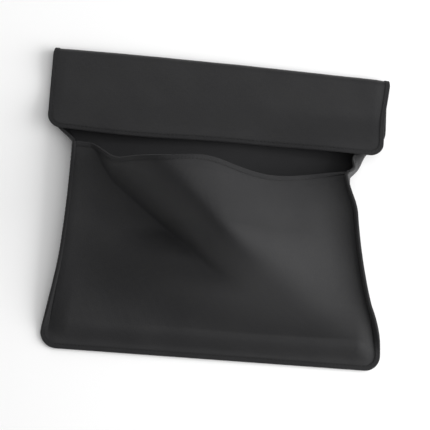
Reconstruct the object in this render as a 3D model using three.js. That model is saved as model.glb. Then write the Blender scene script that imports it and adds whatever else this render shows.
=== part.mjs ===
// A soft pouch of padded fabric, lying on its back, with its mouth open and its flap folded back on itself.
// Lengths are in millimetres. X runs across the pouch, Y from the foot seam to the crease, Z up.
import * as THREE from 'three';

// The cut pieces, measured flat. The back panel's seams end at the mouth. Its sides run out flat above them,
// and its flap reaches back down to the neck.
const panelWidth = 277;
const creaseDistance = 239;
const leftSeamLength = 166;
const seamDifference = 7;
const neckLength = 14;
const flapLap = 1;
const footCornerRadius = 12;
const flapCornerRadius = 10;
const flapTaper = 2.2;

// The laminate: outer fabric, foam and lining, with a little air between them.
const shellThickness = 0.8;
const foamThickness = 1.4;
const liningThickness = 0.5;
const layerGap = 0.3;
const pieceGap = 0.3;

// The edge tape that binds every raw edge, and the flat seam flange inside it.
const tapeThickness = 0.6;
const tapeGap = 0.55;
const tapeReach = 3.2;
const flangeWidth = 4.4;
const openWidth = 11.5;

// Fold lines: the band that bends at the mouth, and the crease of the flap.
const creaseRadius = 5.2;
const creaseBow = 1.2;
const leftFootRise = 1.4;
const rightFootRise = 2.2;
const creaseDrift = -7;
const flapShift = -1.1;
const flapDrift = -2.3;
const flapStretch = 3.2;

// How each side of the back panel turns up towards its seam. The right one leans over near the mouth and
// rolls in above it. Both run out flat, from an offset beyond the seam's top on.
const leftMargin = 26.5;
const rightMargin = 43.5;
const leftBendRadius = 10.5;
const rightBendRadius = 12.2;
const rightEarRadius = 6;
const leftReleaseOffset = 1;
const rightReleaseOffset = -2;
const leftRunOut = 25;
const rightRunOut = 46;
const leanRun = 34;
const rollOffset = 2;
const rollRun = 20;

// The open, bulging front: its crest, the foot of its steep left flank, and its drawn back mouth.
// Places across it are measured from the panel's left side.
const bulgeHeight = 82;
const bulgeStart = 5;
const bulgeRun = 105;
const flankFootDistance = 18;
const flankFootRun = 133;
const crestDistance = 74;
const crestRun = 60;
const crestTurnRun = 90;
const diagonalRun = 114;
const leftFade = 32;
const rightFade = 60;
const mouthPull = 14;
const mouthPullFrom = 25;
const mouthPullTo = 160;
const leftPullFade = 25;
const rightPullFade = 85;
const crestRelief = 5;
const crestReliefDistance = 115;
const crestReliefWidth = 25;

// The flap's soft roll: down from the crease into a shallow valley and up to its free edge.
const flapValley = 7.6;
const flapValleyRun = 26;
const flapEdgeHeight = 11;
const flapLeftRise = 4;
const flapRightRise = 6.6;
const flapRiseStart = 20;
const flapRiseRun = 80;
const flapSag = 2.6;
const flapSagDistance = 66;
const flapSagWidth = 50;

// The point of the back panel, on its middle line, that the model's origin lies on.
const originFromFoot = 120;

const rightSeamLength = leftSeamLength - seamDifference;
const neckEnd = leftSeamLength + neckLength;
const flapLength = creaseDistance - neckEnd + flapLap;
const quarterTurn = Math.PI / 2;
const standAngle = quarterTurn;
const leanAngle = (Math.PI * 11) / 18;
const overAngle = Math.PI;
const half = panelWidth / 2;
const probe = shellThickness / 2;

// Offsets from a panel's outer face (back and flap), or from the inner face of its shell (front).
const backLayers = {
  shell: [0, shellThickness],
  foam: [shellThickness + layerGap, shellThickness + layerGap + foamThickness],
  lining: [
    shellThickness + 2 * layerGap + foamThickness,
    shellThickness + 2 * layerGap + foamThickness + liningThickness,
  ],
};
const frontLayers = {
  shell: [0, shellThickness],
  foam: [-layerGap - foamThickness, -layerGap],
  lining: [-2 * layerGap - foamThickness - liningThickness, -2 * layerGap - foamThickness],
};
const seamStack = shellThickness + layerGap;
const fullStack = backLayers.lining[1] + layerGap - frontLayers.lining[0] + layerGap;
const tapeRise = tapeThickness + tapeGap;

const left = {
  sign: -1,
  seamLength: leftSeamLength,
  margin: leftMargin,
  bendRadius: leftBendRadius,
  earRadius: leftBendRadius,
  mouthAngle: standAngle,
  endAngle: standAngle,
  growthPower: 1.5,
  growthShare: 0.38,
  releaseStart: leftSeamLength + leftReleaseOffset,
  runOut: leftRunOut,
};
const right = {
  sign: 1,
  seamLength: rightSeamLength,
  margin: rightMargin,
  bendRadius: rightBendRadius,
  earRadius: rightEarRadius,
  mouthAngle: leanAngle,
  endAngle: overAngle,
  growthPower: 1.8,
  growthShare: 0.74,
  releaseStart: rightSeamLength + rightReleaseOffset,
  runOut: rightRunOut,
};

const clamp = (x) => Math.min(1, Math.max(0, x));
const mix = (a, b, f) => a + (b - a) * f;
const sum = (list) => list.reduce((a, b) => a + b, 0);

function ease(x) {
  const c = clamp(x);
  return c * c * (3 - 2 * c);
}

function range(count, make) {
  return Array.from({ length: count + 1 }, (_, i) => make(i / count, i));
}

// The mouth line runs straight from the top of the left seam to the top of the right one.
const mouthAt = (s) => mix(leftSeamLength, rightSeamLength, clamp((s + half) / panelWidth));

// Half the panel's width at a distance from a rounded end.
function edgeAt(fromEnd, radius) {
  const inside = Math.max(0, radius - fromEnd);
  return half - radius + Math.sqrt(Math.max(0, radius * radius - inside * inside));
}

// A side margin of the back panel: how wide it is, how tightly it bends up and how far it turns.
// It grows from nothing at the foot corner, leans and rolls near the mouth, and runs out flat under the flap.
function marginAt(side, y) {
  const up = clamp((y - footCornerRadius) / (side.seamLength - footCornerRadius));
  const grown = Math.pow(1 - Math.pow(1 - up, side.growthPower), side.growthShare);
  const past = clamp((y - side.releaseStart) / side.runOut);
  const leaned = ease((y - side.seamLength + leanRun) / leanRun);
  const rolled = ease((y - side.seamLength - rollOffset) / rollRun);
  const width = side.margin * grown * (1 - past);
  const straight = flangeWidth * (1 - rolled);
  const radius = mix(side.bendRadius, side.earRadius, rolled);
  const limit = mix(mix(standAngle, side.mouthAngle, leaned), side.endAngle, rolled);
  const angle = Math.min(limit, Math.max(0, width - straight) / radius);
  return { width, radius, angle };
}

// The panel's outer face at s across the cloth and y up it: flat, then an arc, then straight to the edge.
function sectionPoint(s, y) {
  const side = s < 0 ? left : right;
  const { width, radius, angle } = marginAt(side, y);
  const out = Math.max(0, Math.abs(s) - (half - width));
  const arc = Math.min(out, radius * angle);
  const turn = arc / radius;
  const start = Math.min(Math.abs(s), half - width);
  const x = start + radius * Math.sin(turn) + (out - arc) * Math.cos(angle);
  const z = radius * (1 - Math.cos(turn)) + (out - arc) * Math.sin(angle);
  return { x: side.sign * x, z };
}

// Raw edges, also round the foot corners, lie a tape's thickness off the floor, on their tape.
function edgeLift(s, w) {
  const besideCorner = Math.max(0, footCornerRadius - half + Math.abs(s));
  const belowCorner = Math.max(0, footCornerRadius - w);
  const fromEdge = footCornerRadius - Math.hypot(besideCorner, belowCorner);
  return tapeRise * (1 - ease(fromEdge / footCornerRadius));
}

// The height of the flap's outer face, v down from the crease.
function flapHeight(x, v) {
  const top = 2 * creaseRadius;
  const leftEnd = flapLeftRise * ease((-x - flapRiseStart) / flapRiseRun);
  const rightEnd = flapRightRise * ease((x - flapRiseStart) / flapRiseRun);
  const edge = flapEdgeHeight + leftEnd + rightEnd;
  const rise = ease((v - flapValleyRun) / (flapLength - flapValleyRun));
  return mix(top, flapValley, ease(v / flapValleyRun)) + (edge - flapValley) * rise;
}

// How far up the pouch the cloth lies: the foot seam runs slightly askew to the crease, and the crease bows.
function alongAt(s, y) {
  const up = y / creaseDistance;
  const footRise = mix(leftFootRise, rightFootRise, (s + half) / panelWidth);
  return y + footRise * (1 - up) + creaseBow * Math.cos((Math.PI * s) / panelWidth) * up * up * up;
}

// The whole back strip, s across and w along it: back panel, half turn of the crease, then flap.
// The flap lies askew and a little stretched, and its free edge sags left of the middle.
function stripPoint(s, w) {
  const y = Math.min(w, creaseDistance);
  const { x, z } = sectionPoint(s, y);
  const turn = Math.min(Math.PI, Math.max(0, (w - creaseDistance) / creaseRadius));
  const turned = turn / Math.PI;
  const v = Math.max(0, w - creaseDistance - Math.PI * creaseRadius);
  const down = v / flapLength;
  const lift = (edgeLift(s, w) * (1 + Math.cos(turn))) / 2;
  const stretched = x * (1 + (flapStretch * turned) / panelWidth);
  const across = stretched + (creaseDrift * y) / creaseDistance + flapShift * turned + flapDrift * down;
  const fromSag = (s + half - flapSagDistance) / flapSagWidth;
  const sag = flapSag * down * down * Math.exp(-fromSag * fromSag);
  if (v > 0) return new THREE.Vector3(across, alongAt(s, creaseDistance) - v - sag, flapHeight(across, v));
  const along = alongAt(s, y) + creaseRadius * Math.sin(turn);
  return new THREE.Vector3(across, along, z + lift + creaseRadius * (1 - Math.cos(turn)));
}

// The tangents and the inward normal of the strip, by small steps to both sides.
function stripFrame(s, w) {
  const across = stripPoint(s + probe, w).sub(stripPoint(s - probe, w)).normalize();
  const along = stripPoint(s, w + probe).sub(stripPoint(s, w - probe)).normalize();
  const normal = new THREE.Vector3().crossVectors(across, along).normalize();
  return { point: stripPoint(s, w), across, along, normal };
}

// Columns of a panel: close together over both side margins and wide apart in the flat middle.
function backColumns(edge) {
  const leftSteps = 6;
  const rightSteps = 11;
  const middleSteps = 4;
  const fromLeft = range(leftSteps, (f) => -edge + mix(0, leftMargin, f));
  const fromRight = range(rightSteps, (f) => edge - mix(rightMargin, 0, f));
  const a = -edge + leftMargin;
  const b = edge - rightMargin;
  const between = range(middleSteps, (f) => mix(a, b, f)).slice(1, -1);
  return [...fromLeft, ...between, ...fromRight];
}

// Rows of the pocket: round the foot corners, evenly up to the hem, and the hem itself.
const cornerSteps = 4;
const pocketSteps = 11;
const pocketRows = cornerSteps + pocketSteps + 1;
function pocketRow(row, mouth) {
  if (row <= cornerSteps) return footCornerRadius * (1 - Math.cos((quarterTurn * row) / cornerSteps));
  if (row === pocketRows) return mouth;
  return mix(footCornerRadius, mouth - flangeWidth, (row - cornerSteps) / pocketSteps);
}

// A grid of points and normals on the strip. wAt gives w from a row and s.
function stripGrid(rows, wAt, columnsAt) {
  return range(rows, (_, row) => columnsAt(row).map((s) => stripFrame(s, wAt(row, s))));
}

const pocketGrid = stripGrid(
  pocketRows,
  (row, s) => pocketRow(row, mouthAt(s)),
  (row) => backColumns(edgeAt(pocketRow(row, leftSeamLength), footCornerRadius)),
);

const neckRows = 6;
const neckGrid = stripGrid(
  neckRows,
  (row, s) => mix(mouthAt(s) + pieceGap, neckEnd, row / neckRows),
  () => backColumns(half),
);

const upperShares = [0, 0.05, 0.1, 0.16, 0.22, 0.29, 0.36, 0.46, 0.7, 1];
const upperGrid = stripGrid(
  upperShares.length - 1,
  (row) => mix(neckEnd + pieceGap, creaseDistance - pieceGap, upperShares[row]),
  () => backColumns(half),
);

// Even columns between the flanges of a panel with a rounded end.
function evenColumns(edge, steps) {
  const inner = range(steps, (f) => mix(-edge + flangeWidth, edge - flangeWidth, f));
  return [-edge, ...inner, edge];
}

const creaseSteps = 6;
const creaseColumns = 6;
const creaseLength = Math.PI * creaseRadius;
const creaseGrid = stripGrid(
  creaseSteps,
  (row) => creaseDistance + mix(0, creaseLength - pieceGap, row / creaseSteps),
  () => evenColumns(half, creaseColumns),
);

const flapSteps = 6;
const flapColumns = 12;
const flapRows = flapSteps + cornerSteps;
function flapRow(row) {
  if (row <= flapSteps) return mix(0, flapLength - flapCornerRadius, row / flapSteps);
  const turn = (quarterTurn * (row - flapSteps)) / cornerSteps;
  return flapLength - flapCornerRadius * (1 - Math.sin(turn));
}
const flapStart = creaseDistance + creaseLength + probe;
const flapEdge = (v) => edgeAt(flapLength - v, flapCornerRadius) - (flapTaper * v) / flapLength;
const flapGrid = stripGrid(
  flapRows,
  (row) => flapStart + flapRow(row),
  (row) => evenColumns(flapEdge(flapRow(row)), flapColumns),
);

// The height of the front panel over the flat of the back, close to the foot seam and away from it.
function frontClearance(y) {
  return mix(seamStack, fullStack, clamp((y - flangeWidth) / (openWidth - flangeWidth)));
}

// The front panel's height at x, y: a floor that falls away from both flanges, and the bulge on it.
function frontHeight(x, y, from, to) {
  const footShare = 1.6;
  const turnShare = 5;
  const roundShare = 0.65;
  const floor = frontClearance(y) + edgeLift(0, y);
  const rise = frontClearance(y) - seamStack;
  const lean = (end) => end.height + rise * end.level * ease(end.distance / (openWidth - flangeWidth));
  const ends = [
    { height: from.point.z, level: from.normal.z, distance: x - from.point.x, fade: leftFade },
    { height: to.point.z, level: to.normal.z, distance: to.point.x - x, fade: rightFade },
  ];
  const fades = ends.map((end) => Math.exp(-end.distance / end.fade));
  const lifted = sum(ends.map((end, i) => (lean(end) - floor) * fades[i]));
  const base = floor + lifted;
  const down = Math.max(0, (leftSeamLength - y) / diagonalRun);
  const footX = flankFootDistance - half + flankFootRun * Math.pow(down, footShare);
  const crestX = Math.min(
    crestDistance - half + crestRun * down + crestTurnRun * Math.pow(down, turnShare),
    to.point.x - openWidth,
  );
  const crest = bulgeHeight * ease((y - bulgeStart) / bulgeRun);
  const leftFlank = Math.pow(ease((x - footX) / Math.max(openWidth, crestX - footX)), roundShare);
  const rightFlank = (1 + Math.cos(Math.PI * clamp((x - crestX) / (to.point.x - crestX)))) / 2;
  const share = x < crestX ? leftFlank : rightFlank;
  return base + Math.max(0, crest - base) * share;
}

// How far the mouth edge is drawn back towards the foot over the bulge.
function pullAt(x) {
  const across = x + half;
  const leftEnd = ease((across - mouthPullFrom) / leftPullFade);
  const rightEnd = 1 - ease((across - mouthPullTo) / rightPullFade);
  const relief = Math.exp(-Math.pow((across - crestReliefDistance) / crestReliefWidth, 2));
  return mouthPull * leftEnd * rightEnd - crestRelief * relief;
}

// One row of the front panel: flange, a curve resampled at even steps along the cloth, flange.
const frontSteps = 18;
const curveSamples = 160;
function frontRow(row) {
  const edge = edgeAt(pocketRow(row, leftSeamLength), footCornerRadius);
  const onSeam = (s) => {
    const frame = stripFrame(s, pocketRow(row, mouthAt(s)));
    frame.point.addScaledVector(frame.normal, seamStack);
    return frame;
  };
  const from = onSeam(-edge + flangeWidth);
  const to = onSeam(edge - flangeWidth);
  const step = openWidth - flangeWidth;
  const pulled = Math.pow(Math.min(1, row / (pocketRows - 1)), 3);
  const at = (x) => {
    const s = mix(-half, half, (x - from.point.x) / (to.point.x - from.point.x));
    const y = pocketRow(row, mouthAt(s));
    return new THREE.Vector3(x, alongAt(s, y), frontHeight(x, y, from, to));
  };
  const curve = range(curveSamples, (f) => at(mix(from.point.x + step, to.point.x - step, f)));
  const run = [0];
  curve.slice(1).forEach((p, i) => run.push(run[i] + p.distanceTo(curve[i])));
  const inner = range(frontSteps, (f) => {
    const length = f * run[curveSamples];
    const i = Math.min(curveSamples - 1, Math.max(0, run.findIndex((r) => r >= length) - 1));
    const p = curve[i].clone().lerp(curve[i + 1], (length - run[i]) / (run[i + 1] - run[i]));
    p.y -= pullAt(p.x) * pulled;
    return p;
  });
  return [onSeam(-edge).point, from.point, ...inner, to.point, onSeam(edge).point];
}

// Normals of a grid of points, from the points beside each one.
function withNormals(points) {
  const last = points.length - 1;
  const end = points[0].length - 1;
  return points.map((line, i) =>
    line.map((point, j) => {
      const across = line[Math.min(end, j + 1)].clone().sub(line[Math.max(0, j - 1)]).normalize();
      const along = points[Math.min(last, i + 1)][j].clone().sub(points[Math.max(0, i - 1)][j]).normalize();
      const normal = new THREE.Vector3().crossVectors(across, along).normalize();
      return { point, across, along, normal };
    }),
  );
}

const frontGrid = withNormals(range(pocketRows, (_, row) => frontRow(row)));

// A closed mesh from a list of rings: each ring is a loop of points, joined to the next, with capped ends.
// Each wall between two rings is split along one diagonal, or along the other one where the wall is turned.
function meshFromRings(rings, turned) {
  const count = rings[0].length;
  const corners = rings.flat().flatMap((p) => [p.x, p.y, p.z]);
  const faces = [];
  rings.slice(1).forEach((_, r) => {
    for (let i = 0; i < count; i++) {
      const a = r * count + i;
      const b = r * count + ((i + 1) % count);
      if (turned[i]) faces.push(a, b, a + count, b, b + count, a + count);
      else faces.push(a, b, b + count, a, b + count, a + count);
    }
  });
  return { corners, faces, count };
}

// Turns a mesh inside out if its faces point inwards, and wraps it as a geometry.
function finishGeometry(corners, faces) {
  const at = (i) => new THREE.Vector3(corners[3 * i], corners[3 * i + 1], corners[3 * i + 2]);
  let volume = 0;
  for (let f = 0; f < faces.length; f += 3) {
    volume += at(faces[f]).dot(at(faces[f + 1]).cross(at(faces[f + 2])));
  }
  if (volume < 0) faces.reverse();
  const geometry = new THREE.BufferGeometry();
  geometry.setAttribute('position', new THREE.Float32BufferAttribute(corners, 3));
  geometry.setIndex(faces);
  geometry.computeVertexNormals();
  return geometry;
}

// One layer of a panel: the part of its grid inside the insets, between two offsets along the normals.
function layerGeometry(grid, [low, high], { rows = [0, 0], columns = [0, 0] } = {}) {
  const lines = grid.slice(rows[0], grid.length - rows[1]);
  const part = lines.map((line) => line.slice(columns[0], line.length - columns[1]));
  const height = part.length;
  const width = part[0].length;
  const offset = (frame, by) => frame.point.clone().addScaledVector(frame.normal, by);
  const corners = [low, high].flatMap((by) =>
    part.flat().flatMap((frame) => offset(frame, by).toArray()),
  );
  const top = height * width;
  const faces = [];
  for (let i = 0; i + 1 < height; i++) {
    for (let j = 0; j + 1 < width; j++) {
      const a = i * width + j;
      faces.push(a, a + width, a + 1, a + 1, a + width, a + width + 1);
      faces.push(top + a, top + a + 1, top + a + width, top + a + 1, top + a + width + 1, top + a + width);
    }
  }
  const rim = [
    ...range(width - 1, (_, j) => j),
    ...range(height - 1, (_, i) => i * width + width - 1).slice(1),
    ...range(width - 1, (_, j) => (height - 1) * width + width - 1 - j).slice(1),
    ...range(height - 1, (_, i) => (height - 1 - i) * width).slice(1, -1),
  ];
  rim.forEach((a, i) => {
    const b = rim[(i + 1) % rim.length];
    faces.push(a, b, top + b, a, top + b, top + a);
  });
  return finishGeometry(corners, faces);
}

// The edge tape: a U swept along an edge. Each stop has a point, the way out of the cloth, and a normal.
// On a side, -1 or 1, the walls are split as the cloth in them is, so that both twist alike.
function tapeGeometry(stops, thickness, side = 0) {
  const outer = tapeThickness + tapeGap;
  const profile = [
    [-tapeReach, -outer],
    [outer, -outer],
    [outer, thickness + outer],
    [-tapeReach, thickness + outer],
    [-tapeReach, thickness + tapeGap],
    [tapeGap, thickness + tapeGap],
    [tapeGap, -tapeGap],
    [-tapeReach, -tapeGap],
  ];
  const rings = stops.map(({ point, out, normal }) =>
    profile.map(([a, b]) => point.clone().addScaledVector(out, a).addScaledVector(normal, b)),
  );
  const turned = profile.map(([a, b], i) => {
    const [nextA, nextB] = profile[(i + 1) % profile.length];
    return (nextA - a) * side > 0 || nextB < b;
  });
  const { corners, faces, count } = meshFromRings(rings, turned);
  const capShape = profile.map(([a, b]) => new THREE.Vector2(a, b));
  const cap = THREE.ShapeUtils.triangulateShape(capShape, []);
  const lastRing = (rings.length - 1) * count;
  const sign = THREE.ShapeUtils.isClockWise(capShape) ? 1 : -1;
  cap.forEach(([a, b, c]) => {
    const near = sign > 0 ? [a, b, c] : [a, c, b];
    faces.push(...near, ...near.map((i) => lastRing + i).reverse());
  });
  return finishGeometry(corners, faces);
}

// A stop on the edge of the strip. turn is the way out of the cloth: 0 to the foot, a quarter turn to a side.
function edgeStop(s, w, turn) {
  const { point, across, along, normal } = stripFrame(s, w);
  const out = across.clone().multiplyScalar(Math.sin(turn)).addScaledVector(along, -Math.cos(turn));
  out.addScaledVector(normal, -out.dot(normal)).normalize();
  return { point, out, normal };
}

function sideStops(sign, levels) {
  return levels.map((w) => edgeStop(sign * half, w, sign * quarterTurn));
}

// The stop at a distance from a towards b, on the flat facet of cloth between them.
function stopBetween(a, b, distance) {
  const share = distance / a.point.distanceTo(b.point);
  const at = (key) => a[key].clone().lerp(b[key], share);
  return { point: at('point'), out: at('out').normalize(), normal: at('normal').normalize() };
}

// The foot tape goes round both foot corners, and the side tapes go on from there to the mouth.
const footSide = (sign) =>
  range(cornerSteps, (f, row) => {
    const w = pocketRow(row, leftSeamLength);
    return edgeStop(sign * edgeAt(w, footCornerRadius), w, sign * quarterTurn * f);
  });
const footStops = [
  ...footSide(-1).reverse(),
  ...evenColumns(half - footCornerRadius, flapColumns)
    .slice(1, -1)
    .map((s) => edgeStop(s, 0, 0)),
  ...footSide(1),
];
const seamStops = (side) => {
  const rows = range(pocketRows, (_, row) => pocketRow(row, side.seamLength)).slice(cornerSteps);
  const stops = sideStops(side.sign, rows);
  const first = stopBetween(stops[0], stops[1], tapeGap + pieceGap);
  const last = stopBetween(stops.at(-1), stops.at(-2), pieceGap);
  return [first, ...stops.slice(1, -1), last];
};

// The flap's tape goes down one side, along the free edge and up the other side.
const flapSide = (sign) =>
  range(flapRows, (_, row) => {
    const v = flapRow(row);
    const turn = quarterTurn * (1 + Math.max(0, row - flapSteps) / cornerSteps);
    return edgeStop(sign * flapEdge(v), flapStart + v, sign * turn);
  });
const flapStops = [
  ...flapSide(-1),
  ...evenColumns(flapEdge(flapLength), flapColumns)
    .slice(1, -1)
    .map((s) => edgeStop(s, flapStart + flapLength, Math.PI)),
  ...flapSide(1).reverse(),
];

// The hem starts and ends clear of the flanges, between the panel's second column and its third.
const mouthEdge = frontGrid[pocketRows];
const hemInsetShare = 0.35;
const hemInset = (a, b) => ({ ...b, point: a.point.clone().lerp(b.point, hemInsetShare) });
const hemStops = [
  hemInset(mouthEdge[1], mouthEdge[2]),
  ...mouthEdge.slice(2, -2),
  hemInset(mouthEdge.at(-2), mouthEdge.at(-3)),
].map(({ point, across, normal }) => {
  const out = new THREE.Vector3().crossVectors(normal, across).normalize();
  return { point, out, normal };
});

// The upper tapes start where the margins have run out.
const upperSteps = 3;
const upperLevels = ({ releaseStart, runOut }) =>
  range(upperSteps, (f) => mix(releaseStart + runOut + tapeReach, creaseDistance - pieceGap, f));

// Colours and surfaces, as they look on the pouch.
const looks = {
  shell: { color: 0x3a3a3c, roughness: 0.78, metalness: 0 },
  foam: { color: 0x55555a, roughness: 0.95, metalness: 0 },
  lining: { color: 0x333437, roughness: 0.85, metalness: 0 },
  tape: { color: 0x2e2e30, roughness: 0.7, metalness: 0 },
};

const pouch = new THREE.Group();
pouch.position.set(0, -originFromFoot, 0);

function addPiece(name, look, geometry) {
  const mesh = new THREE.Mesh(geometry, new THREE.MeshStandardMaterial(looks[look]));
  mesh.name = name;
  pouch.add(mesh);
}

// Each panel is three layers. Foam and lining stop short of the seams and of the taped edges.
function addPanel(name, grid, layers, padding) {
  addPiece(`${name}_shell`, 'shell', layerGeometry(grid, layers.shell));
  addPiece(`${name}_foam`, 'foam', layerGeometry(grid, layers.foam, padding));
  addPiece(`${name}_lining`, 'lining', layerGeometry(grid, layers.lining, padding));
}

addPanel('back', pocketGrid, backLayers, { rows: [cornerSteps, 0], columns: [2, 2] });
addPanel('front', frontGrid, frontLayers, { rows: [cornerSteps, 1], columns: [2, 2] });
addPanel('neck', neckGrid, backLayers, { rows: [1, 0], columns: [1, 9] });
addPanel('upper', upperGrid, backLayers, { rows: [1, 0], columns: [1, 9] });
addPanel('crease', creaseGrid, backLayers, { columns: [1, 1] });
addPanel('flap', flapGrid, backLayers, { rows: [0, 3], columns: [1, 1] });

const seamThickness = 2 * shellThickness + layerGap;
addPiece('foot_tape', 'tape', tapeGeometry(footStops, seamThickness));
addPiece('left_tape', 'tape', tapeGeometry(seamStops(left), seamThickness, -1));
addPiece('right_tape', 'tape', tapeGeometry(seamStops(right), seamThickness, 1));
addPiece('mouth_hem', 'tape', tapeGeometry(hemStops, shellThickness));
addPiece('upper_left_tape', 'tape', tapeGeometry(sideStops(-1, upperLevels(left)), shellThickness, -1));
addPiece('upper_right_tape', 'tape', tapeGeometry(sideStops(1, upperLevels(right)), shellThickness, 1));
addPiece('flap_tape', 'tape', tapeGeometry(flapStops, shellThickness));

export default pouch;
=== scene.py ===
import math

import bpy
import numpy as np
from mathutils import Matrix, Vector


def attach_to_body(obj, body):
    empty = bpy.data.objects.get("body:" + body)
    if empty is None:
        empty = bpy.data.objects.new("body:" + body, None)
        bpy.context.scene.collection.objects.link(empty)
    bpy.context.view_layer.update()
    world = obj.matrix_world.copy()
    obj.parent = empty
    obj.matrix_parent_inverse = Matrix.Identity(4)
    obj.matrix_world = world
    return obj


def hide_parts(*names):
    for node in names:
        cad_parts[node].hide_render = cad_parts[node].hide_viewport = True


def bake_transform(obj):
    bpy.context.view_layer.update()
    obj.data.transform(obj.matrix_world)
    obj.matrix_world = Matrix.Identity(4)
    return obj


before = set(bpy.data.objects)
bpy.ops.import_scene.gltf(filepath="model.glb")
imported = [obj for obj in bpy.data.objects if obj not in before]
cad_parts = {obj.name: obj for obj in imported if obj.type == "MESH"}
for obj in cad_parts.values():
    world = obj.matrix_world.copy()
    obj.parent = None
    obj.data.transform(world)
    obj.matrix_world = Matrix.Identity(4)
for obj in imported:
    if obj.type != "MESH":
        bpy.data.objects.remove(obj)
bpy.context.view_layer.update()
print("frame loaded")

# The cut of the cloth and how it lies, in mm. These are the values that the CAD pieces are made from.
cut = {
    "width": 277,
    "creaseDistance": 239,
    "leftSeam": 166,
    "rightSeam": 159,
    "flapLength": 60,
    "footCorner": 12,
    "flapCorner": 10,
    "flapTaper": 2.2,
    "flange": 4.4,
    "originFromFoot": 120,
}
lie = {
    "creaseRadius": 5.2,
    "creaseBow": 1.2,
    "leftFootRise": 1.4,
    "rightFootRise": 2.2,
    "creaseDrift": -7,
    "flapShift": -1.1,
    "flapDrift": -2.3,
    "flapStretch": 3.2,
    "edgeLift": 1.15,
    "rollOffset": 2,
    "rollRun": 20,
    "leanRun": 34,
}
# Each side's turned up margin: how wide, how round, how it grows, and where it flattens out above the seam.
leftSide = {
    "seam": 166,
    "margin": 26.5,
    "bend": 10.5,
    "ear": 10.5,
    "power": 1.5,
    "share": 0.38,
    "release": 167,
    "runOut": 25,
    "lean": 0,
    "roll": 0,
}
rightSide = {
    "seam": 159,
    "margin": 43.5,
    "bend": 12.2,
    "ear": 6,
    "power": 1.8,
    "share": 0.74,
    "release": 157,
    "runOut": 46,
    "lean": 20,
    "roll": 90,
}
half = cut["width"] / 2
flange = cut["flange"]
flapSlack = 0.4
flapStart = cut["creaseDistance"] + math.pi * lie["creaseRadius"] + flapSlack

# How finely the cloth is divided: steps round a corner, along and across each panel, and along each binding.
grid = {
    "corner": 12,
    "across": 200,
    "pocketRows": 60,
    "upperRows": 61,
    "creaseFlatRows": 5,
    "creaseTurnRows": 25,
    "creaseEndRows": 6,
    "flapRows": 32,
    "frontRows": 110,
    "frontColumns": 190,
    "sideStops": 60,
    "upperStops": 90,
    "flapSideStops": 30,
    "flapTipStops": 80,
}


def toFrame(points):
    # (x, y from the foot, z) in mm to the row frame in metres.
    return (np.asarray(points, float) - [0, cut["originFromFoot"], 0]) * 0.001


def ease(x):
    # 3x^2 - 2x^3 between 0 and 1, flat outside.
    c = np.clip(x, 0, 1)
    return c * c * (3 - 2 * c)


def mix(a, b, f):
    # a + (b - a) f.
    return a + (b - a) * f


def unit(v):
    # v over its own length.
    return v / np.maximum(np.linalg.norm(v, axis=-1, keepdims=True), 1e-12)


def mouthAt(s):
    # A straight line in s, from the top of the left seam to the top of the right one.
    return mix(cut["leftSeam"], cut["rightSeam"], np.clip((s + half) / cut["width"], 0, 1))


def edgeAt(fromEnd, radius):
    # Half the panel's width at a distance d from an end with corners of radius r:
    # half - r + sqrt(r^2 - (r - d)^2).
    inside = np.maximum(0, radius - fromEnd)
    return half - radius + np.sqrt(np.maximum(0, radius**2 - inside**2))


def sectionPoint(s, y):
    # Across the strip: flat, then an arc, then straight to the edge. The margin grows from the foot corner,
    # stands up, leans over by a few degrees at the mouth, rolls in above it and flattens out.
    def turned(side, sign):
        # x and z on one side: r sin(angle) and r (1 - cos(angle)) along the arc, then straight on.
        up = np.clip((y - cut["footCorner"]) / (side["seam"] - cut["footCorner"]), 0, 1)
        grown = (1 - (1 - up) ** side["power"]) ** side["share"]
        past = np.clip((y - side["release"]) / side["runOut"], 0, 1)
        rolled = ease((y - side["seam"] - lie["rollOffset"]) / lie["rollRun"])
        width = side["margin"] * grown * (1 - past)
        straight = flange * (1 - rolled)
        radius = mix(side["bend"], side["ear"], rolled)
        leaned = ease((y - side["seam"] + lie["leanRun"]) / lie["leanRun"])
        lean = mix(side["lean"] * leaned, side["roll"], rolled)
        angle = np.minimum(np.radians(90 + lean), np.maximum(0, width - straight) / radius)
        out = np.maximum(0, np.abs(s) - (half - width))
        arc = np.minimum(out, radius * angle)
        start = np.minimum(np.abs(s), half - width)
        x = start + radius * np.sin(arc / radius) + (out - arc) * np.cos(angle)
        z = radius * (1 - np.cos(arc / radius)) + (out - arc) * np.sin(angle)
        return sign * x, z

    (xl, zl), (xr, zr) = turned(leftSide, -1), turned(rightSide, 1)
    return np.where(s < 0, xl, xr), np.where(s < 0, zl, zr)


def edgeLift(s, w):
    # Raw edges, also round the foot corners, lie a binding's thickness off the ground.
    corner = cut["footCorner"]
    fromEdge = corner - np.hypot(np.maximum(0, corner - half + np.abs(s)), np.maximum(0, corner - w))
    return lie["edgeLift"] * (1 - ease(fromEdge / corner))


def alongAt(s, y):
    # The foot seam lies slightly askew to the crease, and the crease bows.
    up = y / cut["creaseDistance"]
    rise = mix(lie["leftFootRise"], lie["rightFootRise"], (s + half) / cut["width"])
    return y + rise * (1 - up) + lie["creaseBow"] * np.cos(math.pi * s / cut["width"]) * up**3


flapRoll = {
    "valley": 7.6,
    "valleyRun": 26,
    "edge": 11,
    "leftRise": 4,
    "rightRise": 6.6,
    "from": 20,
    "run": 80,
}
flapSag = {"depth": 2.6, "at": 66, "width": 50}


def flapHeight(x, v):
    # From the top of the crease down into a shallow valley, then up to the free edge.
    edge = (
        flapRoll["edge"]
        + flapRoll["leftRise"] * ease((-x - flapRoll["from"]) / flapRoll["run"])
        + flapRoll["rightRise"] * ease((x - flapRoll["from"]) / flapRoll["run"])
    )
    rise = ease((v - flapRoll["valleyRun"]) / (cut["flapLength"] - flapRoll["valleyRun"]))
    start = mix(2 * lie["creaseRadius"], flapRoll["valley"], ease(v / flapRoll["valleyRun"]))
    return start + (edge - flapRoll["valley"]) * rise


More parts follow.
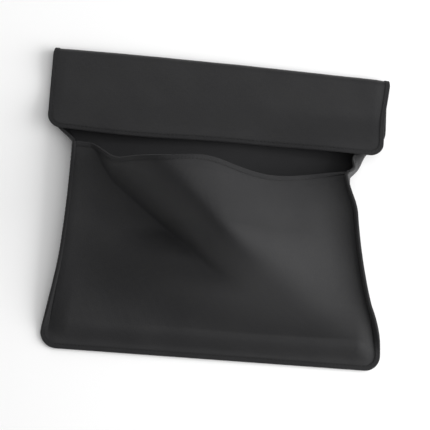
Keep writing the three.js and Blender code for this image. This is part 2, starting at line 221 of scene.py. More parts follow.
def stripPoint(s, w):
    # The whole back strip, s across and w along: back panel, half turn of the crease, then flap. The flap
    # lies askew and a little stretched, and its free edge sags along a bell curve left of the middle.
    s, w = np.broadcast_arrays(np.asarray(s, float), np.asarray(w, float))
    radius, crease = lie["creaseRadius"], cut["creaseDistance"]
    y = np.minimum(w, crease)
    x, z = sectionPoint(s, y)
    turn = np.clip((w - crease) / radius, 0, math.pi)
    turned = turn / math.pi
    v = np.maximum(0, w - crease - math.pi * radius)
    down = v / cut["flapLength"]
    across = x * (1 + lie["flapStretch"] * turned / cut["width"]) + lie["creaseDrift"] * y / crease
    across = across + lie["flapShift"] * turned + lie["flapDrift"] * down
    sag = flapSag["depth"] * down**2 * np.exp(-(((s + half - flapSag["at"]) / flapSag["width"]) ** 2))
    along = alongAt(s, y) + np.where(v > 0, -v - sag, radius * np.sin(turn))
    lift = edgeLift(s, w) * (1 + np.cos(turn)) / 2
    height = np.where(v > 0, flapHeight(across, v), z + lift + radius * (1 - np.cos(turn)))
    return np.stack([across, along, height], -1)


def stripFrame(s, w, step=0.5):
    # Place, direction across, direction along and inward normal of the strip, by small steps both ways.
    across = unit(stripPoint(s + step, w) - stripPoint(s - step, w))
    along = unit(stripPoint(s, w + step) - stripPoint(s, w - step))
    return stripPoint(s, w), across, along, unit(np.cross(across, along))


# The open front: its crest, the foot of its steep left flank, and its drawn back mouth.
bulge = {
    "height": 82,
    "start": 5,
    "run": 105,
    "flankFoot": 24,
    "flankFootRun": 128,
    "flankWidth": 25,
    "shoulder": 30,
    "toe": 0.14,
    "flankRound": 3.4,
    "crest": 73,
    "crestRun": 70,
    "crestTurn": 34,
    "diagonal": 114,
    "leftFade": 58,
    "rightFade": 60,
    "rightRound": 0.8,
    "ramp": 0.15,
    "rampStart": 6,
    "rampFrom": 0.5,
    "rampRun": 0.5,
}
# The pull on the mouth reaches down the cloth as the cube of a share that starts at first / (first + growth).
mouth = {"pull": 14, "from": 25, "to": 160, "leftFade": 25, "rightFade": 85, "first": 4, "growth": 11}
relief = {"depth": 5, "at": 115, "width": 25}
opening = {"seam": 1.1, "full": 6.4, "run": 20.4}
seamInsets = (0.0, 1.5, 3.0)
columnTightness = 0.35


def domeRise(t):
    # A short parabola that turns up out of the flat, then a long curve, 1 - (1 - u)^round, over to the top.
    toe, t = bulge["toe"], np.clip(t, 0, 1)
    u = np.where(t < 2 * toe, t * t / (4 * toe), t - toe) / (1 - toe)
    return 1 - (1 - u) ** bulge["flankRound"]


def frontHeight(x, y, start, end, startLevel, endLevel):
    # A floor that falls away from both side flanges by exp(-distance / fade), plus the bulge: what the crest
    # rises above it, times the left flank, times the right one. The left flank is mostly the dome, and towards
    # the foot seam a long smooth step takes over. The right flank is half a cosine wave, to a power.
    clearance = mix(opening["seam"], opening["full"], ease((y - flange) / (opening["run"] - flange)))
    floor = clearance + edgeLift(0.0, y)
    rise = clearance - opening["seam"]
    base = floor
    for place, level, distance, fade in (
        (start, startLevel, x - start[..., 0], bulge["leftFade"]),
        (end, endLevel, end[..., 0] - x, bulge["rightFade"]),
    ):
        lean = place[..., 2] + rise * level * ease(distance / (opening["run"] - flange))
        base = base + (lean - floor) * np.exp(-distance / fade)
    down = np.maximum(0, (cut["leftSeam"] - y) / bulge["diagonal"])
    crestX = bulge["crest"] - half + bulge["crestRun"] * down + bulge["crestTurn"] * down**3
    crestX = np.minimum(crestX, end[..., 0] - opening["run"])
    footX = bulge["flankFoot"] - half + bulge["flankFootRun"] * down
    footX = np.minimum(footX, crestX - bulge["flankWidth"])
    crest = bulge["height"] * ease((y - bulge["start"]) / bulge["run"])
    ramp = mix(bulge["ramp"], 1, ease((down - bulge["rampFrom"]) / bulge["rampRun"]))
    rampX = bulge["rampStart"] - half
    dome = domeRise((x - footX) / (crestX - footX + bulge["shoulder"]))
    leftFlank = mix(dome, ease((x - rampX) / (crestX - rampX)), ramp)
    rightFlank = (1 + np.cos(math.pi * np.clip((x - crestX) / (end[..., 0] - crestX), 0, 1))) / 2
    return base + np.maximum(0, crest - base) * leftFlank * rightFlank ** bulge["rightRound"]


def pullAt(x):
    # How far the mouth edge is drawn back towards the foot over the bulge, less a bell curve at the crest.
    across = x + half
    leftEnd = ease((across - mouth["from"]) / mouth["leftFade"])
    rightEnd = 1 - ease((across - mouth["to"]) / mouth["rightFade"])
    bell = np.exp(-(((across - relief["at"]) / relief["width"]) ** 2))
    return mouth["pull"] * leftEnd * rightEnd - relief["depth"] * bell


def cornerTurns():
    # Even turns through a quarter circle.
    return np.linspace(0, math.pi / 2, grid["corner"] + 1)


def pocketRows(steps):
    # Row parameter to distance up the cloth: r (1 - cos turn) round the corners, then even steps.
    corner = cut["footCorner"] * (1 - np.cos(cornerTurns()))
    share = np.linspace(0, 1, steps + 1)[1:]
    return corner, share


def rowDistance(row, s, corner, share):
    # w of a row at s: the same all along in the corner rows, then shared out up to the slanting mouth.
    rounded = np.concatenate([corner, np.full(len(share), cut["footCorner"])])
    shares = np.concatenate([np.zeros(len(corner)), share])
    return rounded[row] + shares[row] * (mouthAt(s) - cut["footCorner"])


def frontSurface():
    # Rows up the front panel, each from the left edge over both flanges to the right edge. The columns are
    # even steps, drawn in a little at both ends by (1 - cos) / 2.
    columns = grid["frontColumns"]
    corner, share = pocketRows(grid["frontRows"])
    row = np.arange(len(corner) + len(share))[:, None]
    edge = edgeAt(rowDistance(row, -half, corner, share), cut["footCorner"])

    def onSeam(s):
        # The back's own surface at s, lifted along its normal by the seam's thickness.
        place, _, _, normal = stripFrame(s, rowDistance(row, s, corner, share))
        return place + normal * opening["seam"], normal

    left = [onSeam(-edge + inset)[0] for inset in seamInsets]
    right = [onSeam(edge - inset)[0] for inset in reversed(seamInsets)]
    start, startNormal = onSeam(-edge + flange)
    end, endNormal = onSeam(edge - flange)
    f = (1 - np.cos(np.linspace(0, math.pi, columns + 1))) / 2
    f = mix(np.linspace(0, 1, columns + 1), f, columnTightness)[None, :]
    x = mix(start[..., 0], end[..., 0], f)
    s = mix(-half, half, f)
    y = rowDistance(row, s, corner, share)
    z = frontHeight(x, y, start, end, startNormal[..., 2], endNormal[..., 2])
    risen = (y - cut["footCorner"]) / (mouthAt(s) - flange - cut["footCorner"])
    reached = (mouth["first"] + mouth["growth"] * risen) / (mouth["first"] + mouth["growth"])
    pulled = np.clip(reached, 0, 1) ** 3
    middle = np.stack([x, alongAt(s, y) - pullAt(x) * pulled, z], -1)
    return np.concatenate([*left, middle, *right], axis=1)


def gridNormals(points):
    # Cross product of the central differences along both ways of the grid.
    return unit(np.cross(np.gradient(points, axis=1), np.gradient(points, axis=0)))


waves = {"count": 7, "shortest": 26, "longest": 70}


def softWaves(points, size, seed):
    # size times the mean of sine waves in seeded directions, for the slight unevenness of padded cloth.
    rng = np.random.default_rng(seed)
    total = 0
    for _ in range(waves["count"]):
        angle = rng.uniform(0, math.pi)
        length = rng.uniform(waves["shortest"], waves["longest"])
        phase = rng.uniform(0, 2 * math.pi)
        along = points[..., 0] * math.cos(angle) + points[..., 1] * math.sin(angle)
        total = total + np.sin(2 * math.pi * along / length + phase)
    return size * total / waves["count"]


sharpAngle = 50


def makeObject(name, vertices, faces, materials, uv=None, faceMaterial=None):
    # vertices in mm, faces an array of quads, uv in metres along the cloth for each vertex.
    mesh = bpy.data.meshes.new(name)
    faces = np.asarray(faces)
    mesh.from_pydata(toFrame(vertices), [], faces.tolist())
    for material in materials:
        mesh.materials.append(material)
    if faceMaterial is not None:
        mesh.polygons.foreach_set("material_index", np.asarray(faceMaterial, np.int32))
    if uv is not None:
        loops = np.empty(len(mesh.loops), np.int32)
        mesh.loops.foreach_get("vertex_index", loops)
        mesh.uv_layers.new(name="cloth").data.foreach_set("uv", uv[loops].astype(np.float32).ravel())
    mesh.polygons.foreach_set("use_smooth", np.ones(len(mesh.polygons), bool))
    mesh.update()
    mesh.set_sharp_from_angle(angle=math.radians(sharpAngle))
    thing = bpy.data.objects.new(name, mesh)
    bpy.context.scene.collection.objects.link(thing)
    return thing


def clothUv(points):
    # Distance along the cloth both ways, summed from the middle column and the first row, in metres.
    across = np.linalg.norm(np.diff(points, axis=1), axis=-1).cumsum(1)
    across = np.concatenate([np.zeros((len(points), 1)), across], 1)
    across = across - across[:, [points.shape[1] // 2]]
    along = np.linalg.norm(np.diff(points, axis=0), axis=-1).cumsum(0)
    along = np.concatenate([np.zeros((1, points.shape[1])), along], 0)
    return np.stack([across, along], -1) * 0.001


def slab(name, face, back, materials, flip=False):
    # Two grids of points joined round their rim into one closed piece. The first is the outer face.
    rows, columns = face.shape[:2]
    count = rows * columns
    index = np.arange(count).reshape(rows, columns)
    quads = np.stack([index[:-1, :-1], index[:-1, 1:], index[1:, 1:], index[1:, :-1]], -1).reshape(-1, 4)
    rim = np.concatenate([index[0, :-1], index[:-1, -1], index[-1, :0:-1], index[:0:-1, 0]])
    after = np.roll(rim, -1)
    sides = np.stack([rim, rim + count, after + count, after], -1)
    faces = np.concatenate([quads, quads[:, ::-1] + count, sides])
    if flip:
        faces = faces[:, ::-1]
    kind = np.concatenate([np.zeros(len(quads)), np.ones(len(quads)), np.zeros(len(sides))])
    uv = np.concatenate([clothUv(face).reshape(-1, 2), clothUv(back).reshape(-1, 2)])
    vertices = np.concatenate([face.reshape(-1, 3), back.reshape(-1, 3)])
    return makeObject(name, vertices, faces, materials, uv, kind)


def sweep(name, place, out, normal, profile, material):
    # A closed profile carried along a path: each point goes a along out and b along the normal.
    # The inner copy of the ends closes them.
    out, normal = unit(out), unit(normal)
    rings = place[:, None] + out[:, None] * profile[None, :, :1] + normal[:, None] * profile[None, :, 1:]
    steps, count = rings.shape[:2]
    index = np.arange(steps * count).reshape(steps, count)
    turned = np.roll(index, -1, axis=1)
    quads = np.stack([index[:-1], index[1:], turned[1:], turned[:-1]], -1).reshape(-1, 4)
    pairs = count // 2
    k = np.arange(pairs - 1)
    cap = np.stack([k, k + 1, count - 2 - k, count - 1 - k], -1)
    caps = np.concatenate([cap, (index[-1, 0] + cap)[:, ::-1]])
    faces = np.concatenate([quads, caps])
    travelled = np.concatenate([[0], np.linalg.norm(np.diff(place, axis=0), axis=-1).cumsum()])
    around = np.concatenate([[0], np.linalg.norm(np.diff(profile, axis=0), axis=-1).cumsum()])
    uv = np.stack(np.broadcast_arrays(travelled[:, None], around[None, :]), -1).reshape(-1, 2) * 0.001
    vertices = rings.reshape(-1, 3)
    if signedVolume(vertices, faces) < 0:
        faces = faces[:, ::-1]
    return makeObject(name, vertices, faces, [material], uv)


def signedVolume(vertices, faces):
    # Sum over both triangles of each quad of a . (b x c) / 6: above 0 when the faces point outwards.
    a, b, c, d = (vertices[faces[:, i]] for i in range(4))
    return ((a * np.cross(b, c)).sum() + (a * np.cross(c, d)).sum()) / 6


def linear(hexColour):
    # sRGB hex to the linear RGBA that shaders take.
    c = np.array([int(hexColour[i : i + 2], 16) for i in (1, 3, 5)]) / 255
    c = np.where(c <= 0.04045, c / 12.92, ((c + 0.055) / 1.055) ** 2.4)
    return (*c, 1.0)


def addNode(tree, kind, links=None, **settings):
    # One node. settings are its properties or its sockets' values; links are {its socket: another's output}.
    node = tree.nodes.new(kind)
    for key, value in settings.items():
        if hasattr(node, key):
            setattr(node, key, value)
        else:
            node.inputs[key.replace("_", " ")].default_value = value
    for socket, source in (links or {}).items():
        tree.links.new(source, node.inputs[socket])
    return node


# A wave texture of scale 1 repeats every 0.31416 m. Fuzz is a millimetre fine. Relief is in metres.
weave = {"waveStep": 0.31416, "fuzzScale": 900.0, "relief": 0.0004, "toneLow": 0.7, "toneHigh": 1.3}


def clothMaterial(name, dark, light, thread, roughness, sheen, bump, patchScale):
    # Plain weave: the product of two sine bands along the cloth gives the threads, soft noise the tone.
    material = bpy.data.materials.new(name)
    material.use_nodes = True
    tree = material.node_tree
    shader = tree.nodes["Principled BSDF"]
    uv = addNode(tree, "ShaderNodeUVMap", uv_map="cloth").outputs["UV"]
    place = addNode(tree, "ShaderNodeTexCoord").outputs["Object"]
    scale = weave["waveStep"] / (thread * 0.001)
    wave = {"Scale": scale, "Distortion": 0.0}
    warp = addNode(tree, "ShaderNodeTexWave", {"Vector": uv}, bands_direction="X", **wave).outputs["Fac"]
    weft = addNode(tree, "ShaderNodeTexWave", {"Vector": uv}, bands_direction="Y", **wave).outputs["Fac"]
    threads = addNode(tree, "ShaderNodeMath", {0: warp, 1: weft}, operation="MULTIPLY")
    patches = addNode(
        tree, "ShaderNodeTexNoise", {"Vector": place}, Scale=patchScale, Detail=3.0, Roughness=0.55
    )
    fuzz = addNode(
        tree, "ShaderNodeTexNoise", {"Vector": place}, Scale=weave["fuzzScale"], Detail=2.0, Roughness=0.6
    )
    tone = addNode(
        tree,
        "ShaderNodeMath",
        {0: patches.outputs["Fac"], 1: fuzz.outputs["Fac"]},
        operation="ADD",
    )
    toneShare = addNode(
        tree,
        "ShaderNodeMapRange",
        {"Value": tone.outputs[0]},
        From_Min=weave["toneLow"],
        From_Max=weave["toneHigh"],
    )
    colour = addNode(
        tree,
        "ShaderNodeMix",
        {0: toneShare.outputs[0]},
        data_type="RGBA",
    )
    colour.inputs[6].default_value = linear(dark)
    colour.inputs[7].default_value = linear(light)
    tree.links.new(colour.outputs[2], shader.inputs["Base Color"])
    height = addNode(
        tree, "ShaderNodeMath", {0: threads.outputs[0], 1: fuzz.outputs["Fac"]}, operation="ADD"
    )
    bumps = addNode(
        tree, "ShaderNodeBump", {"Height": height.outputs[0]}, Strength=bump, Distance=weave["relief"]
    )
    tree.links.new(bumps.outputs["Normal"], shader.inputs["Normal"])
    shader.inputs["Roughness"].default_value = roughness
    shader.inputs["Sheen Weight"].default_value = sheen
    shader.inputs["Sheen Roughness"].default_value = 0.5
    shader.inputs["Specular IOR Level"].default_value = 0.25
    return material


# Polyester microfibre, woven close and brushed: matt, with a faint pale bloom where it turns away.
# Threads 0.35 mm apart are too fine to show here, so they are drawn 0.9 mm apart.
outerCloth = clothMaterial("wovenMicrofibre", "#161618", "#1e1e1f", 0.9, 0.6, 0.12, 0.35, 22.0)
# Nylon taffeta lining: the same weave, a little finer and flatter, with less bloom than the outer cloth.
liningCloth = clothMaterial("taffetaLining", "#171719", "#1e1e20", 0.8, 0.65, 0.05, 0.25, 30.0)
# Woven binding tape: a coarser, deeper and more matt weave than the cloth's, and hardly paler.
bindingTape = clothMaterial("wovenBindingTape", "#171719", "#1f1f20", 1.1, 0.75, 0.08, 0.5, 60.0)
# Spun polyester sewing thread: near black, so that its row reads as a thin dark line along each edge.
sewingThread = clothMaterial("spunThread", "#0a0a0b", "#121213", 0.5, 0.6, 0.1, 0.3, 200.0)
print("materials made")


# The padding's thickness at the seams and away from them, and the cloth's slight swelling over it.
# It is pressed thinner by a bell curve just before the line where the back folds, where the flap's edge
# comes down as the pouch closes. "zone" is how far up from the foot seam or back from the flap's tip the
# rounded corners count, "turn" the run over which the swelling sets in past the crease, and frontOut and
# rimShare place the front's two faces.
padding = {"edge": 0.9, "full": 3.2, "run": 24, "puff": 0.5, "puffStart": 2.6, "puffRun": 9, "waves": 0.35}
pressed = {"depth": 2.3, "at": 172, "width": 20}
zone = {"foot": 30, "tip": 20, "front": 40, "turn": 16}
frontOut = 0.8
rimShare = 0.1
farAway = 99


def strip(name, s, w, materials, puffed, seed):
    # A stretch of the back strip as one padded piece. The inner face lies a thickness above the outer one
    # along the normal. The thickness grows by ease(distance from the nearest edge / run).
    place, _, _, normal = stripFrame(s, w)
    beside = half - np.abs(s)
    foot = cut["footCorner"] - np.hypot(
        np.maximum(0, cut["footCorner"] - beside), np.maximum(0, cut["footCorner"] - w)
    )
    end = flapStart + cut["flapLength"] - w
    tip = cut["flapCorner"] - np.hypot(
        np.maximum(0, cut["flapCorner"] - beside), np.maximum(0, cut["flapCorner"] - end)
    )
    footEdge = np.where(w < zone["foot"], foot, farAway)
    tipEdge = np.where(end < zone["tip"], tip, farAway)
    fromEdge = np.minimum(np.minimum(np.minimum(beside, footEdge), tipEdge), end)
    thick = mix(padding["edge"], padding["full"], ease(fromEdge / padding["run"]))
    fold = np.exp(-(((w - pressed["at"]) / pressed["width"]) ** 2))
    thick = np.maximum(padding["edge"], thick - pressed["depth"] * fold)
    rise = ease((fromEdge - padding["puffStart"]) / padding["puffRun"])
    rise = rise * ease((w - cut["creaseDistance"]) / zone["turn"])
    out = puffed * rise * (padding["puff"] + softWaves(place, padding["waves"], seed))
    face = place - normal * out[..., None]
    return slab(name, face, place + normal * thick[..., None], materials, flip=True)


def spread(count, tight=0.35):
    # Even steps e from -1 to 1, mixed with sin(e pi / 2), which draws them together towards both ends.
    even = np.linspace(-1, 1, count)
    return mix(even, np.sin(even * math.pi / 2), tight)


cloth = [outerCloth, liningCloth]
across = spread(grid["across"])
corner, share = pocketRows(grid["pocketRows"])
rows = np.arange(len(corner) + len(share))[:, None]
edge = edgeAt(rowDistance(rows, -half, corner, share), cut["footCorner"])
sLow = edge * across[None, :]
wLow = rowDistance(rows, sLow, corner, share)
creaseFlat = 6.0
creaseFrom = cut["creaseDistance"] - creaseFlat
wHigh = mix(mouthAt(half * across)[None, :], creaseFrom, np.linspace(0, 1, grid["upperRows"])[1:, None])
sHigh = np.broadcast_to(half * across, wHigh.shape)
backPanel = strip("backPanel", np.concatenate([sLow, sHigh]), np.concatenate([wLow, wHigh]), cloth, 0.0, 1)

flapSplit = 8.0
wTurn = np.concatenate(
    [
        np.linspace(creaseFrom, cut["creaseDistance"], grid["creaseFlatRows"])[:-1],
        np.linspace(cut["creaseDistance"], flapStart, grid["creaseTurnRows"]),
        np.linspace(flapStart, flapStart + flapSplit, grid["creaseEndRows"])[1:],
    ]
)


def flapEdge(v):
    # Half the flap's width v down from the crease: it tapers, and its corners are rounded.
    narrowed = cut["flapTaper"] * np.maximum(0, v) / cut["flapLength"]
    return edgeAt(cut["flapLength"] - v, cut["flapCorner"]) - narrowed


edgeTurn = flapEdge(wTurn - flapStart)[:, None]
creasePanel = strip("creasePanel", edgeTurn * across[None, :], wTurn[:, None] + 0 * across, cloth, 1.0, 2)
straightEnd = cut["flapLength"] - cut["flapCorner"]
vFlap = np.concatenate(
    [
        np.linspace(flapSplit, straightEnd, grid["flapRows"])[:-1],
        straightEnd + cut["flapCorner"] * np.sin(cornerTurns()),
    ]
)
sFlap = flapEdge(vFlap)[:, None] * across[None, :]
wFlap = flapStart + vFlap[:, None] + 0 * across
flapPanel = strip("flapPanel", sFlap, wFlap, cloth, 1.0, 2)

front = frontSurface()
frontNormal = gridNormals(front)
lengths = clothUv(front) * 1000
fromSide = np.minimum(lengths[..., 0] - lengths[:, :1, 0], lengths[:, -1:, 0] - lengths[..., 0])
fromFoot = lengths[..., 1]
fromMouth = lengths[-1:, :, 1] - lengths[..., 1]
fromSeam = np.minimum(fromSide, np.where(fromFoot < zone["front"], fromFoot, farAway))
fromRim = np.minimum(fromSeam - flange, fromMouth)
thick = mix(rimShare * padding["edge"], padding["full"] - frontOut, ease(fromRim / padding["run"]))
rise = ease((np.minimum(fromSeam, fromMouth) - padding["puffStart"]) / padding["puffRun"])
out = frontOut + rise * (padding["puff"] + softWaves(front, padding["waves"], 3))
frontPanel = slab(
    "frontPanel", front + frontNormal * out[..., None], front - frontNormal * thick[..., None], cloth
)
print("panels made")


# The folded tape: how far it reaches in, its own thickness and its play over the cloth, in mm, where its
# straight part stops, how flat its bow is, and its points round the bow and along each straight.
binding = {
    "reach": 3.2,
    "thick": 0.45,
    "gap": 0.06,
    "straightEnd": -0.3,
    "bowShare": 0.7,
    "bowSteps": 9,
    "flatSteps": 4,
}


def bindingProfile(depth):
    # A tape folded over an edge of that depth: its outer line there, then its inner line back.
    reach, t, gap = binding["reach"], binding["thick"], binding["gap"]

    def line(extra):
        # Top straight, bow and bottom straight, all moved out from the cloth by extra.
        low, high = -gap - extra, depth + gap + extra
        radius = (high - low) / 2
        turn = np.linspace(math.pi / 2, -math.pi / 2, binding["bowSteps"])
        bowOut = gap * 0.5 + radius * np.cos(turn) * binding["bowShare"]
        bow = np.stack([bowOut, depth / 2 + radius * np.sin(turn)], -1)
        flat = np.linspace(-reach, binding["straightEnd"], binding["flatSteps"])
        top = np.stack([flat, np.full(len(flat), high)], -1)
        return np.concatenate([top, bow, (top * [1, 0] + [0, low])[::-1]])

    return np.concatenate([line(t), line(0)[::-1]])


def edgePath(s, w, turn):
    # Places along the strip's edge. turn is the way out of the cloth: 0 to the foot, a quarter to a side.
    place, across, along, normal = stripFrame(s, w)
    out = across * np.sin(turn)[:, None] - along * np.cos(turn)[:, None]
    return place, unit(out - normal * (out * normal).sum(-1, keepdims=True)), normal


def bindingTurns():
    # Even turns through a quarter circle, finer than the panels' own, for a smooth tape.
    return np.linspace(0, math.pi / 2, stitch["cornerStops"])


# A row of stitches near the tape's inner edge, in mm: each is wider than high, and tapers to its ends.
stitch = {
    "length": 2.6,
    "pitch": 3.2,
    "radius": 0.2,
    "inset": 2.5,
    "widthShare": 1.4,
    "endShare": 0.25,
    "bellyShare": 0.36,
    "cornerStops": 17,
}


def stitches(name, place, out, normal, height):
    # Short spindles laid end to end along a path: six sides and four rings each, sunk half into the tape.
    line = place - out * stitch["inset"] + normal * height
    travelled = np.concatenate([[0], np.linalg.norm(np.diff(line, axis=0), axis=-1).cumsum()])
    middle = np.arange(stitch["pitch"], travelled[-1] - stitch["pitch"], stitch["pitch"])

    def at(values, distance):
        # Values read off at distances along the line, straight between its points.
        return np.stack([np.interp(distance, travelled, values[:, i]) for i in range(3)], -1)

    heading = unit(at(line, middle + 0.5) - at(line, middle - 0.5))
    up = unit(at(normal, middle))
    side = np.cross(up, heading)
    turn = np.arange(6) * math.pi / 3
    belly, tip = stitch["bellyShare"], stitch["endShare"]
    ringAt = np.array([-0.5, -belly, belly, 0.5]) * stitch["length"]
    ringSize = np.array([tip, 1, 1, tip]) * stitch["radius"]
    a = ringAt[:, None] + 0 * turn
    b = ringSize[:, None] * np.cos(turn) * stitch["widthShare"]
    c = ringSize[:, None] * np.sin(turn)
    shape = np.stack([a, b, c], -1).reshape(-1, 3)
    axes = np.stack([heading, side, up], 1)
    points = at(line, middle)[:, None] + np.einsum("kj,njx->nkx", shape, axes)
    ring = np.arange(18).reshape(3, 6)
    after = np.roll(ring, -1, axis=1)
    quads = np.stack([ring, after, after + 6, ring + 6], -1).reshape(-1, 4)
    caps = np.array([[0, 5, 4, 3], [0, 3, 2, 1], [18, 19, 20, 21], [18, 21, 22, 23]])
    faces = np.concatenate([quads, caps])[None] + np.arange(len(middle))[:, None, None] * 24
    uv = np.broadcast_to(shape[:, :2] * 0.001, (len(middle), 24, 2)).reshape(-1, 2)
    return makeObject(name, points.reshape(-1, 3), faces.reshape(-1, 4), [sewingThread], uv)


def bind(name, path, depth, nodes, sides, attach):
    # A binding along a path and a row of stitches on each side of it that is seen.
    place, out, normal = path
    tape = sweep(name, place, out, normal, bindingProfile(depth), bindingTape)
    made = [tape]
    top = depth + binding["gap"] + binding["thick"]
    for side, height in (("Top", top), ("Under", -binding["gap"] - binding["thick"])):
        if side in sides:
            made.append(stitches(f"{name}{side}Stitches", place, out, normal, height))
    for thing in made:
        attach(thing)
    if nodes:
        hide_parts(*nodes)
    return tape


def onBody(body):
    # What fastens a thing to one body, so that it moves with it.
    return lambda thing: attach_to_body(thing, body)


def acrossNeck(thing):
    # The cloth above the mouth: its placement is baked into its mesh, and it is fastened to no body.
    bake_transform(thing)


def acrossCrease(thing):
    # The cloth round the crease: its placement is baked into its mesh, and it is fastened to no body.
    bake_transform(thing)


seamDepth = 1.9
shellDepth = 0.9
turns = bindingTurns()
cornerW = cut["footCorner"] * (1 - np.cos(turns))
cornerS = half - cut["footCorner"] * (1 - np.sin(turns))


seamGap = {"below": 0.3, "above": 0.4}


def sideUp(seam):
    # Even steps up a side, from the foot corner to just below the seam's top.
    return np.linspace(cut["footCorner"], seam - seamGap["below"], grid["sideStops"])[1:]


leftUp, rightUp = sideUp(cut["leftSeam"]), sideUp(cut["rightSeam"])
footAcross = np.linspace(-half + cut["footCorner"], half - cut["footCorner"], grid["sideStops"])[1:-1]
leftSame, rightSame = np.ones(len(leftUp)), np.ones(len(rightUp))
leftTurn, rightTurn = -leftSame * math.pi / 2, rightSame * math.pi / 2
seamS = np.concatenate([-half * leftSame, -cornerS[::-1], footAcross, cornerS, half * rightSame])
seamW = np.concatenate([leftUp[::-1], cornerW[::-1], 0 * footAcross, cornerW, rightUp])
seamTurn = np.concatenate([leftTurn, -turns[::-1], 0 * footAcross, turns, rightTurn])
bind(
    "seamBinding",
    edgePath(seamS, seamW, seamTurn),
    seamDepth,
    ["foot_tape", "left_tape", "right_tape"],
    ("Top", "Under"),
    onBody("pocket"),
)

for sideName, sign, seam in (("Left", -1, cut["leftSeam"]), ("Right", 1, cut["rightSeam"])):
    w = np.linspace(seam + seamGap["above"], creaseFrom, grid["upperStops"])
    path = edgePath(np.full(len(w), sign * half), w, np.full(len(w), sign * math.pi / 2))
    bind(
        f"upper{sideName}Binding",
        path,
        shellDepth,
        [f"upper_{sideName.lower()}_tape"],
        ("Top", "Under"),
        acrossNeck,
    )
    path = edgePath(sign * flapEdge(wTurn - flapStart), wTurn, np.full(len(wTurn), sign * math.pi / 2))
    bind(f"crease{sideName}Binding", path, shellDepth, [], (), acrossCrease)

flapTurns = math.pi / 2 + cornerTurns()
vStraight = np.linspace(flapSplit, straightEnd, grid["flapSideStops"])[:-1]
vCorner = straightEnd + cut["flapCorner"] * np.sin(cornerTurns())
sideV = np.concatenate([vStraight, vCorner])
sideTurn = np.concatenate([np.full(len(vStraight), math.pi / 2), flapTurns])
tipEdge = flapEdge(np.array(float(cut["flapLength"])))
tipAcross = np.linspace(-tipEdge, tipEdge, grid["flapTipStops"])[1:-1]
flapS = np.concatenate([-flapEdge(sideV), tipAcross, flapEdge(sideV)[::-1]])
flapW = flapStart + np.concatenate([sideV, np.full(len(tipAcross), float(cut["flapLength"])), sideV[::-1]])
flapTurn = np.concatenate([-sideTurn, np.full(len(tipAcross), math.pi), sideTurn[::-1]])
bind(
    "flapBinding",
    edgePath(flapS, flapW, flapTurn),
    shellDepth,
    ["flap_tape"],
    ("Top", "Under"),
    onBody("flap"),
)

hemInset = 5
lip = slice(hemInset, -hemInset)
hemPlace = front[-1, lip]
hemNormal = frontNormal[-1, lip]
hemAcross = unit(np.gradient(hemPlace, axis=0))
bind(
    "mouthHem",
    (hemPlace, unit(np.cross(hemNormal, hemAcross)), hemNormal),
    shellDepth,
    ["mouth_hem"],
    ("Top", "Under"),
    onBody("pocket"),
)
print("bindings and stitches made")

# What each panel stands for and what it moves with.
acrossNeck(backPanel)
acrossCrease(creasePanel)
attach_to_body(flapPanel, "flap")
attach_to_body(frontPanel, "pocket")
for thing, panels in (
    (backPanel, ("back", "neck", "upper")),
    (creasePanel, ("crease",)),
    (flapPanel, ("flap",)),
    (frontPanel, ("front",)),
):
    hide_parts(*[f"{panel}_{layer}" for panel in panels for layer in ("shell", "foam", "lining")])
print("pieces attached")

# Three soft boxes, each with its turn from +X and its height in degrees and its power in watts, then the air
# light's strength and the ground's reach and depth in metres.
studio = {
    "ground": "#f4f4f4",
    "distance": 1.5,
    "size": 1.4,
    "key": (-2, 30, 29.0),
    "top": (0, 80, 8.5),
    "back": (120, 35, 3.5),
    "air": 0.32,
    "groundReach": 3.0,
    "groundDepth": -0.0004,
}


def makeGround():
    # A flat square, well outside the view on all sides.
    mesh = bpy.data.meshes.new("ground")
    reach, depth = studio["groundReach"], studio["groundDepth"]
    corners = [(x * reach, y * reach, depth) for x, y in ((-1, -1), (1, -1), (1, 1), (-1, 1))]
    mesh.from_pydata(corners, [], [(0, 1, 2, 3)])
    material = bpy.data.materials.new("mattPaper")
    material.use_nodes = True
    shader = material.node_tree.nodes["Principled BSDF"]
    shader.inputs["Base Color"].default_value = linear(studio["ground"])
    shader.inputs["Roughness"].default_value = 0.9
    mesh.materials.append(material)
    ground = bpy.data.objects.new("ground", mesh)
    bpy.context.scene.collection.objects.link(ground)
    return ground


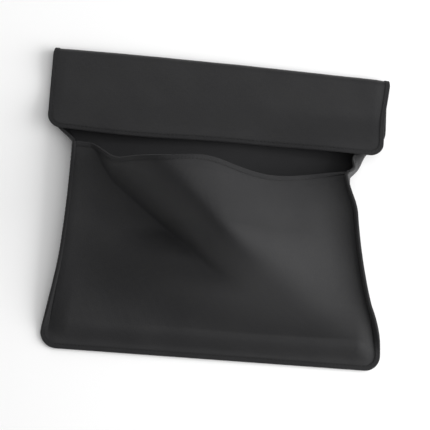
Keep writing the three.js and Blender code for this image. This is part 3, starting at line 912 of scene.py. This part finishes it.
def softBox(name, turn, height, power):
    # A square soft box on a sphere round the pouch, facing its middle.
    turn, height = math.radians(turn), math.radians(height)
    place = Vector((math.cos(height) * math.cos(turn), math.cos(height) * math.sin(turn), math.sin(height)))
    lamp = bpy.data.lights.new(name, "AREA")
    lamp.size, lamp.energy = studio["size"], power
    thing = bpy.data.objects.new(name, lamp)
    thing.location = place * studio["distance"]
    thing.rotation_euler = (-place).to_track_quat("-Z", "Y").to_euler()
    bpy.context.scene.collection.objects.link(thing)


makeGround()
for lampName in ("key", "top", "back"):
    softBox(f"{lampName}Light", *studio[lampName])
world = bpy.data.worlds.new("studioAir")
world.use_nodes = True
world.node_tree.nodes["Background"].inputs["Color"].default_value = (1, 1, 1, 1)
world.node_tree.nodes["Background"].inputs["Strength"].default_value = studio["air"]
bpy.context.scene.world = world
bpy.context.scene.view_settings.view_transform = "Standard"

# The photograph's pinhole: metres away, degrees of lean and roll, its focal length and centre in pixels, the
# picture's side in pixels and the sensor's in mm.
view = {
    "distance": 1.2,
    "leanX": -7.12,
    "leanY": -7.44,
    "roll": 4.1,
    "focal": 1456.3,
    "centre": (222.0, 214.77),
    "pixels": 430,
    "sensor": 36,
}


def makeCamera():
    # Looks at the origin from above, leaning by two small angles, with the photograph's pinhole measures.
    tx, ty, roll = (math.radians(view[k]) for k in ("leanX", "leanY", "roll"))
    tilt, turn = math.hypot(tx, ty), math.atan2(tx, -ty)
    back = Vector((math.sin(turn) * math.sin(tilt), -math.cos(turn) * math.sin(tilt), math.cos(tilt)))
    side = (-back).cross(Vector((0, 1, 0))).normalized()
    up = side.cross(-back)
    right = math.cos(roll) * side + math.sin(roll) * up
    top = -math.sin(roll) * side + math.cos(roll) * up
    camera = bpy.data.cameras.new("camera")
    pixels = view["pixels"]
    camera.sensor_width = view["sensor"]
    camera.lens = view["focal"] / pixels * view["sensor"]
    camera.shift_x = (pixels / 2 - view["centre"][0]) / pixels
    camera.shift_y = (view["centre"][1] - pixels / 2) / pixels
    thing = bpy.data.objects.new("camera", camera)
    pose = Matrix((right, top, back)).transposed().to_4x4()
    pose.translation = back * view["distance"]
    thing.matrix_world = pose
    bpy.context.scene.collection.objects.link(thing)
    bpy.context.scene.camera = thing


makeCamera()
print("stage made")
